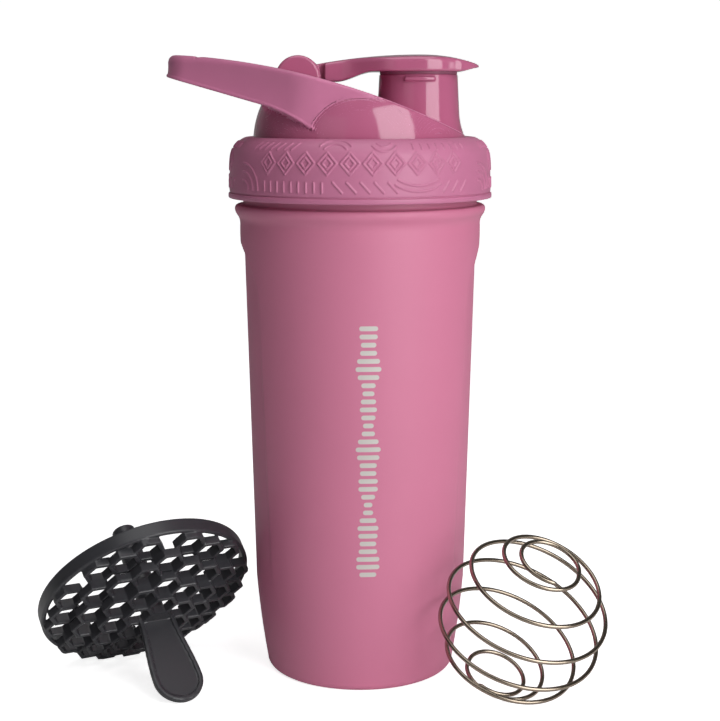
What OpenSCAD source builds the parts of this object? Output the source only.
// Insulated steel shaker bottle with a screw-on lid, carry handle, flip cap,
// strainer and wire whisk ball. Millimetres, +Z up, +X towards the spout.
// The origin is on the bottle's axis, on the surface that it stands on.

/* [Bottle] */
// Height of the coloured shell, to the top of its bead
shell_h = 180; // [150:1:220]
// Radius of the shell just under the bead
shoulder_r = 45.3; // [37:0.1:55]
// How much narrower the shell is where its foot curve starts
taper = 4.1; // [2:0.1:6]
// Height at which the foot curve starts
foot_h = 50; // [30:1:60]
// Radius of the large arc that draws the foot in
foot_arc_r = 340; // [300:10:600]
// Rounding of the bottom edge
base_round = 3; // [1.5:0.1:4]
// How far the bead stands out from the shell
bead_out = 1.9; // [1:0.1:2.5]
// Height of the bead
bead_h = 5; // [4:0.1:7]
// Thickness of the steel
wall_t = 0.7; // [0.5:0.05:1]
// Width of the vacuum gap between shell and liner
vacuum_gap = 2.9; // [2:0.1:4]
// Thickness of the base plate
plate_t = 1.2; // [0.8:0.1:2]

/* [Grips] */
// Depth of the two side grips at the top
grip_depth = 1.6; // [0.8:0.1:2]
// Half width of a grip
grip_half_w = 22; // [18:0.5:26]
// Height at which a grip fades out
grip_z = 36; // [25:1:50]
// Height of plain shell between a grip and the bead
grip_top_gap = 9.5; // [8:0.5:20]
// Turn of the grips from the X axis
grip_turn = 3; // [-10:0.5:10]

/* [Thread] */
// How much narrower the neck is than the shell
neck_step = 1.3; // [1:0.1:3]
// Height of the neck above the bead
neck_h = 17; // [16:0.5:20]
// Rise of the thread in one turn
thread_pitch = 5; // [4:0.1:6]
// Number of turns of thread
thread_turns = 1.25; // [1:0.25:1.5]
// How far the thread stands out from its wall
thread_depth = 1.3; // [0.9:0.1:1.6]
// Radial clearance between the two threads
thread_clear = 0.45; // [0.3:0.05:0.6]

/* [Collar] */
// Wall of the collar outside its thread
collar_wall = 3.75; // [2.5:0.05:5]
// Gap between the bead and the collar
collar_gap = 2.5; // [1:0.1:4]
// Rounding of the collar's top edge
collar_round = 6; // [3:0.1:7]
// Thickness of the collar's top
collar_top_t = 3.5; // [2.5:0.1:5]

/* [Dome] */
// How much smaller the dome is than the collar
dome_step = 9.5; // [8:0.1:12]
// Radius of the dome's bulging side
dome_side_r = 32; // [28:0.5:36]
// Wall of the dome
dome_t = 2.2; // [1.6:0.1:3]
// Thickness of the flange that the collar holds
flange_t = 2.5; // [2:0.1:3]
// Thickness of the gasket
gasket_t = 2; // [1.5:0.1:2.5]

/* [Spout] */
// Radius of the spout at its rim
spout_r = 14.6; // [11:0.1:15]
// Wall of the spout at its rim
spout_wall = 2.2; // [1.5:0.1:3]
// Extra radius at the foot of the spout
spout_flare = 1.2; // [0:0.1:1.5]
// Height of the spout's rim above the collar
spout_rise = 23; // [20:0.1:24]
// Distance from the spout to the dome's edge at the foot
spout_edge = 2.4; // [2:0.1:6]

/* [Handle] */
// Height of the handle's highest line above the collar
handle_rise = 30.4; // [28:0.1:31]
// Radius of the long arc along the handle's top
handle_arc_r = 275; // [265:5:340]
// Reach of the handle from the bottle's axis
handle_reach = 72; // [66:0.5:80]
// Thickness of the deck that lies on the dome
deck_t = 2; // [1.5:0.1:2.5]
// Thickness of the handle at its tip
handle_tip_t = 8.2; // [5:0.1:9]
// How far the handle's sides are inside the dome's foot
handle_side_in = 4.3; // [3:0.1:6]
// Width of the handle's bar
handle_bar = 11; // [8:0.5:13]
// Radius of the handle's tip, seen from above
handle_tip_r = 14; // [10:0.5:18]

/* [Flip cap] */
// Distance of the hinge from the bottle's axis
hinge_back = 22.7; // [20:0.1:26]
// Height of the hinge above the collar
hinge_rise = 21.4; // [20:0.1:23]
// Radius of the hinge ears
ear_r = 8.3; // [6:0.1:9]
// Thickness of a hinge ear
ear_t = 4; // [3:0.1:5]
// Radius of the cap's hinge barrel
barrel_r = 5; // [4:0.1:5.5]
// Width of the cap's arm
arm_w = 17; // [12:0.5:20]
// Radius of the stubs at the barrel's ends, which turn in the ears
stub_r = 1.8; // [1:0.1:2.4]
// How far a stub reaches into its ear
stub_len = 2.6; // [1.5:0.1:3.5]
// Running clearance of a stub in its hole
stub_clear = 0.08; // [0.02:0.01:0.1]
// Side clearance between the cap and its surroundings
side_clear = 0.4; // [0.3:0.05:1]
// Gap between the spout's rim and the cap, which the cap's washer fills
cap_gap = 0.9; // [0.6:0.1:1.5]
// Thickness of the cap over the spout
cap_t = 6.4; // [4:0.1:6.6]
// How far the cap's thumb tab passes the spout
tab_out = 8.5; // [5:0.1:10]
// Depth of the plug under the cap
plug_h = 5; // [3:0.1:6]
// Clearance of the plug in the spout
plug_clear = 0.4; // [0.3:0.05:0.6]

/* [Strainer] */
// Radius of the strainer's ring
strainer_r = 41; // [36:0.1:42]
// Height of the ring
strainer_band = 6; // [4:0.5:8]
// Depth of the bowl below the ring
bowl_depth = 13; // [10:0.5:16]
// Distance between neighbouring hexagonal holes
hex_pitch = 9.6; // [8:0.1:12]
// Width of the bars between the holes
hex_bar = 1.6; // [1.2:0.1:2.5]
// Length of the paddle, from the ring's upper edge
paddle_len = 53; // [45:1:60]
// Half width of the paddle
paddle_half_w = 9.5; // [7:0.5:11]
// Radius of the post in the middle of the strainer
knob_r = 4.5; // [3:0.1:5]
// Height of the post above the ring
knob_h = 24.5; // [15:0.5:26]
// Gap between the leaning ring and the bottle
strainer_gap = 4.3; // [3:0.1:10]
// Direction of the strainer from the bottle's axis
strainer_turn = 188.5; // [180:0.5:200]
// Turn of the leaning strainer
strainer_yaw = 120; // [110:1:150]

/* [Whisk ball] */
// Radius of the ball, over the wire
ball_r = 31; // [26:0.5:33]
// Radius of the wire
wire_r = 0.8; // [0.7:0.05:1]
// Radius of the small ring at each pole
pole_ring_r = 11; // [8:0.5:12]
// Number of turns from pole to pole
ball_turns = 5.5; // [5:0.5:8]
// Gap between the ball and the bottle
ball_gap = 2.7; // [2:0.1:10]
// Direction of the ball from the bottle's axis
ball_turn = -36.2; // [-45:0.1:-25]

/* [Hidden] */
$fn = 96;

seat_gap = 0.05;
steel = [0.76, 0.75, 0.73];
coat = [0.78, 0.46, 0.57];
plastic = [0.72, 0.42, 0.54];
silicone = [0.62, 0.36, 0.46];
black = [0.09, 0.09, 0.1];

// Radius of the shell at height z
function shell_r(z) = z > foot_h
    ? waist_r + taper * (min(z, grip_top + 3) - foot_h) / (grip_top + 3 - foot_h)
    : waist_r - taper / (grip_top + 3 - foot_h) * (foot_h - z) - pow(foot_h - z, 2) / (2 * foot_arc_r);
// Points of a quarter turn about c, from angle a
function quarter(c, r, a, n = 6) = [for (i = [0 : n]) c + r * [cos(a + 90 * i / n), sin(a + 90 * i / n)]];

// Bottle
waist_r = shoulder_r - taper;
bead_r = shoulder_r + bead_out;
bead_round = 1.8;
bead_half_h = 2;
bead_z = shell_h - bead_half_h - 0.1;
wall_top = shell_h - bead_h - 2;
thread_z = shell_h + 5;
neck_r = shoulder_r - neck_step;
rim_z = shell_h + neck_h;
liner_in = grip_depth + wall_t + vacuum_gap;
liner_neck_r = neck_r - wall_t;
grip_top = shell_h - bead_h - grip_top_gap;

base_r = shell_r(0);
plate_r = base_r - base_round - 1;

// Lid
collar_z = shell_h + collar_gap;
thread_root_r = neck_r + thread_depth + thread_clear;
collar_r = thread_root_r + collar_wall;
flange_z = rim_z + gasket_t;
collar_top = flange_z + flange_t + collar_top_t;
dome_r = collar_r - dome_step;
dome_side_x = dome_r - dome_side_r;
dome_z = collar_top - 2;
flange_r = thread_root_r - side_clear;
handle_z = collar_top + handle_rise;
handle_crest_x = -85;
handle_half_w = dome_r - handle_side_in;
spout_x = dome_r - spout_edge - spout_r - spout_flare;
spout_z = collar_top + spout_rise;
spout_bore_r = spout_r - spout_wall;

// Hinge and cap
hinge_x = -hinge_back;
hinge_z = collar_top + hinge_rise;
arm_half_w = arm_w / 2;
ear_in = arm_half_w + side_clear;
ear_out = ear_in + ear_t;
stub_end = ear_in + stub_len;
pocket_half_w = ear_out + side_clear;
pocket_z = hinge_z - barrel_r - 1.9;
pocket_end_x = hinge_x + 18;
cap_z = spout_z + cap_gap;
cap_top = cap_z + cap_t;
cap_arc_r = 200;
cap_end = spout_x + spout_r + tab_out;
cap_crest_x = spout_x + 2;
plug_r = spout_bore_r - plug_clear;

// Strainer
paddle_t = 2.4;
bowl_t = 4.5;
strainer_t = 1.8;
rim_lean = atan((paddle_len - strainer_band) / (strainer_r - paddle_t / 2));
strainer_z = paddle_len * cos(rim_lean) + paddle_t / 2 * sin(rim_lean);
strainer_reach = strainer_r * sqrt(1 - pow(sin(rim_lean) * cos(strainer_yaw - strainer_turn), 2));
strainer_away = waist_r + strainer_reach + strainer_gap;

// Whisk ball
ring_turns = 0.82;
ball_lean = [22, 19, 0];
ball_phase = -75;
ball_away = shell_r(ball_r) + ball_r + ball_gap;

// Half of the shell's section, moved in by inset
function shell_section(inset) = concat(
    [[0, inset]],
    quarter([base_r - base_round - inset, base_round + inset], base_round, -90),
    [for (z = [base_round * 2 : (foot_h - base_round * 2) / 8 : foot_h + 0.01]) [shell_r(z) - inset, z]],
    [[shoulder_r - inset, grip_top + 3], [shoulder_r - inset, wall_top]]);

// Solid of the shell below its bead, moved in by inset, with both grips pressed in
module shell_form(inset) {
    difference() {
        rotate_extrude() polygon(concat(shell_section(inset), [[0, wall_top]]));
        rotate([0, 0, grip_turn]) for (side = [0, 180]) rotate([0, 0, side]) grip_cut(inset);
    }
}

// What a grip takes off: the ring outside its floor, inside an arch seen from the side
module grip_cut(inset) {
    floor_top = shoulder_r - grip_depth - inset;
    floor_low = shell_r(grip_z) - inset;
    reach = bead_r + 5;
    intersection() {
        rotate_extrude() polygon([[floor_low, grip_z], [floor_low + 5, grip_z],
            [reach, grip_z + 10], [reach, grip_top], [floor_top, grip_top]]);
        rotate([90, 0, 90]) linear_extrude(height = reach) {
            translate([0, grip_top - grip_half_w]) circle(r = grip_half_w + inset);
            translate([-grip_half_w - inset, grip_z])
                square([2 * (grip_half_w + inset), grip_top - grip_half_w - grip_z]);
        }
    }
}

// Helical ridge of trapezoid section: foot on radius r, crest thread_depth away
module thread_ridge(r, out, z0) {
    steps = 40 * thread_turns;
    foot = 1.3;
    crest = 0.6;
    sink = 0.3;
    section = [[r - out * sink, -foot - 0.2], [r + out * thread_depth, -crest],
        [r + out * thread_depth, crest], [r - out * sink, foot + 0.2]];
    order = out > 0 ? [3, 2, 1, 0] : [0, 1, 2, 3];
    points = [for (i = [0 : steps]) let (a = 360 * thread_turns * i / steps, up = z0 + thread_pitch * a / 360)
        for (k = order) [section[k][0] * cos(a), section[k][0] * sin(a), section[k][1] + up]];
    sides = [for (i = [0 : steps - 1]) for (k = [0 : 3]) let (m = (k + 1) % 4)
        [4 * i + k, 4 * i + 4 + k, 4 * i + 4 + m, 4 * i + m]];
    polyhedron(points = points, convexity = 4,
        faces = concat([[0, 1, 2, 3]], sides, [[4 * steps + 3, 4 * steps + 2, 4 * steps + 1, 4 * steps]]));
}

// The rolled bead and the threaded neck above it
module neck_ring() {
    thread_ridge(neck_r, 1, thread_z);
    rotate_extrude() polygon(concat(
        [[shoulder_r - wall_t, wall_top], [shoulder_r, wall_top], [shoulder_r + 0.3, wall_top + 2]],
        [for (i = [0 : 8]) let (a = -70 + 140 * i / 8)
            [bead_r - bead_round + bead_round * cos(a), bead_z + bead_half_h * sin(a)]],
        [[neck_r, shell_h], [neck_r, rim_z - wall_t], [liner_neck_r, rim_z - wall_t],
        [liner_neck_r, wall_top]]));
}

module outer_shell() {
    color(coat) union() {
        difference() {
            shell_form(0);
            shell_form(wall_t);
            translate([0, 0, -1]) cylinder(r = plate_r, h = 3);
        }
        neck_ring();
    }
}

module inner_liner() {
    top = shell_h - bead_h - 4;
    low = plate_t + vacuum_gap + 1;
    outer = [[0, low], [shell_r(low) - liner_in - 8, low], [shell_r(low) - liner_in - 2.5, low + 1.8],
        [shell_r(low) - liner_in, low + 7], [shell_r(foot_h) - liner_in, foot_h],
        [shoulder_r - liner_in, top - 4], [liner_neck_r, top + 4]];
    color(steel) rotate_extrude() difference() {
        polygon(concat(outer, [[liner_neck_r, rim_z - wall_t], [neck_r, rim_z - wall_t],
            [neck_r, rim_z], [0, rim_z]]));
        polygon(concat([[-1, low + wall_t]],
            [for (p = [for (i = [1 : 6]) outer[i]]) [p[0] - wall_t, p[1] + wall_t]],
            [[liner_neck_r - wall_t, rim_z + 1], [-1, rim_z + 1]]));
    }
}

module base_plate() {
    color(coat) cylinder(r = plate_r, h = plate_t);
}

module vacuum_getter() {
    color(steel) translate([12, 0, plate_t]) cylinder(r = 5, h = 1.6);
}

module lid_collar() {
    groove = 0.4;
    lip = 2;
    draft = 0.5;
    color(plastic) {
        rotate_extrude() polygon(concat(
            [[thread_root_r, collar_z], [collar_r - 0.3, collar_z], [collar_r, collar_z + 0.3],
            [collar_r, collar_z + lip], [collar_r - groove, collar_z + lip],
            [collar_r - groove, collar_z + lip + groove]],
            quarter([collar_r - draft - collar_round, collar_top - collar_round], collar_round, 0, 8),
            [[dome_r + seat_gap, collar_top], [dome_r + seat_gap, flange_z + flange_t],
            [thread_root_r, flange_z + flange_t]]));
        thread_ridge(thread_root_r, -1, thread_z + thread_pitch / 2);
    }
}

// Half section of the dome's bulging outside, moved in by inset
module dome_half(inset) {
    polygon(concat([[0, flange_z], [dome_r - inset, flange_z]],
        quarter([dome_side_x, dome_z], dome_side_r - inset, 0, 16),
        [[0, dome_z + dome_side_r - inset]]));
}

// Everything below the handle's top arc, moved down by drop
module below_arc(drop) {
    translate([handle_crest_x, 0, handle_z - handle_arc_r]) rotate([90, 0, 0])
        cylinder(r = handle_arc_r - drop, h = 200, center = true);
}

// The dome's outside, up to the deck's underside
module dome_core(grow) {
    intersection() {
        rotate_extrude() dome_half(-grow);
        below_arc(deck_t - grow);
    }
}

// The gap in the deck and the dome's top that the cap's arm turns in
module arm_pocket(grow) {
    translate([-dome_r - 4, -pocket_half_w - grow, pocket_z - grow])
        cube([dome_r + 4 + pocket_end_x + grow, 2 * (pocket_half_w + grow), 40]);
}

// The finger hole of the handle, seen from above
module finger_hole() {
    tip_r = 4;
    root_r = 5;
    root_out = 1.5;
    hull() {
        translate([-handle_reach + handle_bar + tip_r, 0]) circle(r = tip_r, $fn = 32);
        for (side = [-1, 1])
            translate([-dome_r + 2, side * (pocket_half_w + root_out - root_r)]) circle(r = root_r, $fn = 32);
    }
}

module spout_cone(grow) {
    translate([spout_x, 0, collar_top + 1])
        cylinder(r1 = spout_r + spout_flare + grow, r2 = spout_r + grow, h = spout_rise - 1);
}

module lid_dome() {
    rib_w = 11;
    rib_t = 1.5;
    rib_out = 1.2;
    rib_drop = 2.4;
    color(plastic) difference() {
        union() {
            difference() {
                union() {
                    dome_core(0);
                    translate([0, 0, flange_z]) cylinder(r = flange_r, h = flange_t);
                    spout_cone(0);
                    translate([spout_x, 0, spout_z - rib_drop])
                        intersection() {
                            cylinder(r = spout_r + rib_out, h = rib_t);
                            translate([-rib_w / 2, -spout_r - 3, 0]) cube([rib_w, 8, rib_t]);
                        }
                }
                arm_pocket(0);
                difference() {
                    intersection() {
                        translate([0, 0, -0.02]) rotate_extrude() dome_half(dome_t);
                        below_arc(deck_t + dome_t);
                    }
                    arm_pocket(dome_t);
                }
            }
            for (side = [-1, 1]) translate([hinge_x, side * (ear_in + ear_t / 2), hinge_z])
                rotate([90, 0, 0]) linear_extrude(height = ear_t, center = true) {
                    circle(r = ear_r);
                    translate([-ear_r, pocket_z - hinge_z - 1]) square([2 * ear_r, hinge_z - pocket_z + 1]);
                }
        }
        translate([spout_x, 0, flange_z - 1]) cylinder(r = spout_bore_r, h = 60);
        translate([hinge_x, 0, hinge_z]) rotate([90, 0, 0])
            cylinder(r = stub_r + stub_clear, h = 2 * (stub_end + side_clear), center = true);
    }
}

// The handle seen from the side: a bar that thickens towards the dome
module handle_side() {
    tip = -handle_reach;
    tip_top = handle_z - 1;
    tip_low = handle_z - handle_tip_t;
    tip_round = 4.5;
    rotate([90, 0, 0]) linear_extrude(height = 120, center = true)
        polygon(concat(
            quarter([tip + tip_round, tip_top - tip_round], tip_round, 90),
            [[tip, tip_low + 0.8], [tip + 0.8, tip_low]],
            [[-dome_r + 10, collar_top + 10], [-17.5, collar_top + 3.4], [0, collar_top - 4],
            [dome_r, collar_top - 4], [dome_r, handle_z + 8], [tip + tip_round, handle_z + 8]]));
}

// The handle seen from above: straight sides that close in to a round tip
module handle_plan() {
    side_round = 24;
    hull() {
        translate([-handle_reach + handle_tip_r, 0]) circle(r = handle_tip_r);
        for (side = [-1, 1]) translate([-14, side * (handle_half_w - side_round)]) circle(r = side_round);
        circle(r = handle_half_w);
    }
}

module carry_handle() {
    color(plastic) difference() {
        intersection() {
            below_arc(0);
            union() {
                rotate_extrude() dome_half(0);
                intersection() {
                    handle_side();
                    translate([0, 0, flange_z]) linear_extrude(height = 60) handle_plan();
                }
            }
        }
        dome_core(seat_gap);
        translate([0, 0, flange_z - 1]) cylinder(r = dome_r + 8, h = dome_z - flange_z + 3);
        arm_pocket(0);
        translate([0, 0, flange_z]) linear_extrude(height = 60) finger_hole();
        spout_cone(seat_gap);
    }
}

module lid_gasket() {
    color(silicone) translate([0, 0, rim_z]) difference() {
        cylinder(r = neck_r + thread_clear, h = gasket_t);
        translate([0, 0, -1]) cylinder(r = liner_neck_r - 2.2, h = gasket_t + 2);
    }
}

// The cap seen from above: arm, round cover and thumb tab
module cap_plan() {
    cover_r = spout_r + 2.6;
    tab_r = 11;
    translate([hinge_x, -arm_half_w]) square([spout_x - hinge_x, arm_w]);
    hull() {
        translate([spout_x, 0]) circle(r = cover_r, $fn = 64);
        translate([cap_end - tab_r, 0]) circle(r = tab_r, $fn = 48);
        translate([spout_x - cover_r - 12, -arm_half_w]) square([1, arm_w]);
    }
}

module flip_cap() {
    lobe_x = hinge_x + ear_r + 2.2;
    lobe_low = hinge_z - 1.2;
    plug_t = 1.6;
    arm_low = cap_z + 0.3;
    color(plastic) {
        intersection() {
            translate([0, 0, cap_z - 10]) linear_extrude(height = 30) cap_plan();
            translate([cap_crest_x, 0, cap_top - cap_arc_r]) rotate([90, 0, 0])
                cylinder(r = cap_arc_r, h = 100, center = true, $fn = 360);
            rotate([90, 0, 0]) linear_extrude(height = 100, center = true)
                polygon([[hinge_x, hinge_z - 1], [lobe_x, lobe_low], [lobe_x + 3, lobe_low],
                    [lobe_x + 9, arm_low - 1], [lobe_x + 17, arm_low], [lobe_x + 19, cap_z],
                    [cap_end - 8, cap_z], [cap_end + 1, cap_z + 1], [cap_end + 1, cap_z + 2],
                    [cap_end - 12, cap_top + 1], [hinge_x, cap_top + 1]]);
        }
        translate([hinge_x, 0, hinge_z]) rotate([90, 0, 0]) {
            cylinder(r = barrel_r, h = arm_w, center = true);
            cylinder(r = stub_r, h = 2 * stub_end, center = true);
        }
        translate([spout_x, 0, cap_z - cap_gap - plug_h]) difference() {
            cylinder(r = plug_r, h = plug_h + cap_gap + 0.5);
            translate([0, 0, -1]) cylinder(r = plug_r - plug_t, h = plug_h + 1.5);
        }
    }
}

module cap_washer() {
    color(silicone) translate([spout_x, 0, spout_z]) difference() {
        cylinder(r = spout_r - 0.2, h = cap_gap);
        translate([0, 0, -1]) cylinder(r = plug_r, h = cap_gap + 2);
    }
}

// Places of the hexagonal holes within a circle of radius r, apart from the middle one
function hex_places(r) = [for (q = [-8 : 8], s = [-8 : 8])
    let (p = hex_pitch * [q + s / 2, s * sin(60)]) if (norm(p) > 1 && norm(p) < r) p];

// Sets the strainer leaning on its paddle's tip and its ring, beside the bottle
module lean_strainer() {
    rotate([0, 0, strainer_turn]) translate([strainer_away, 0, strainer_z])
        rotate([0, rim_lean, strainer_yaw - strainer_turn]) children();
}

module strainer() {
    bowl_rim_r = strainer_r - strainer_t - 0.5;
    sphere_r = (pow(bowl_rim_r, 2) + pow(bowl_depth, 2)) / (2 * bowl_depth);
    bowl_low = strainer_band + bowl_depth;
    post_wall = 1.4;
    color(black) lean_strainer() {
        difference() {
            translate([0, 0, -strainer_band]) cylinder(r = strainer_r, h = strainer_band);
            translate([0, 0, -strainer_band - 1])
                cylinder(r = strainer_r - strainer_t, h = strainer_band + 2);
        }
        difference() {
            intersection() {
                translate([0, 0, sphere_r - bowl_low]) difference() {
                    sphere(r = sphere_r);
                    sphere(r = sphere_r - bowl_t);
                }
                translate([0, 0, -bowl_low]) cylinder(r = bowl_rim_r + 0.8, h = bowl_depth + 2);
            }
            for (p = hex_places(bowl_rim_r - hex_pitch / 2)) translate([p[0], p[1], -50])
                rotate([0, 0, 30]) cylinder(r = (hex_pitch - hex_bar) / sqrt(3), h = 60, $fn = 6);
        }
        difference() {
            translate([0, 0, 1 - bowl_low]) cylinder(r = knob_r, h = knob_h + bowl_low - 1);
            translate([0, 0, knob_h - 8]) cylinder(r = knob_r - post_wall, h = 9);
        }
        rotate([0, 90, 0]) linear_extrude(height = paddle_t, center = true) {
            translate([bowl_low - 2, -paddle_half_w * 0.75])
                square([paddle_len - paddle_half_w - bowl_low + 2, paddle_half_w * 1.5]);
            translate([paddle_len - paddle_half_w, 0]) circle(r = paddle_half_w);
        }
    }
}

// Point on the ball's wire after a number of turns: a ring, the helix, and a ring again
function wire_point(turns) = let (
    path_r = ball_r - wire_r,
    polar = asin(pole_ring_r / path_r),
    share = min(1, max(0, (turns - ring_turns) / ball_turns)),
    tilt = polar + (180 - 2 * polar) * share)
    path_r * [sin(tilt) * cos(360 * turns), -sin(tilt) * sin(360 * turns), cos(tilt)];
function unit(v) = v / norm(v);

module whisk_ball() {
    turns = ball_turns + 2 * ring_turns;
    rings = round(28 * turns);
    sides = 6;
    points = [for (i = [0 : rings]) let (
        p = wire_point(turns * i / rings),
        along = unit(wire_point(turns * (i + 0.5) / rings) - wire_point(turns * (i - 0.5) / rings)),
        out = unit(p),
        side = unit(cross(along, out)))
        for (k = [0 : sides - 1]) p + wire_r * (cos(360 * k / sides) * out + sin(360 * k / sides) * side)];
    last = rings * sides;
    color(steel) rotate([0, 0, ball_turn]) translate([ball_away, 0, ball_r])
        rotate([0, 0, -ball_turn]) rotate(ball_lean) rotate([0, 0, ball_phase])
            polyhedron(points = points, convexity = 20, faces = concat(
                [[for (k = [0 : sides - 1]) k]],
                [for (i = [0 : rings - 1]) for (k = [0 : sides - 1]) let (m = (k + 1) % sides, b = i * sides)
                    [b + k, b + sides + k, b + sides + m, b + m]],
                [[for (k = [sides - 1 : -1 : 0]) last + k]]));
}

outer_shell();
inner_liner();
base_plate();
vacuum_getter();
lid_collar();
lid_dome();
carry_handle();
lid_gasket();
flip_cap();
cap_washer();
strainer();
whisk_ball();
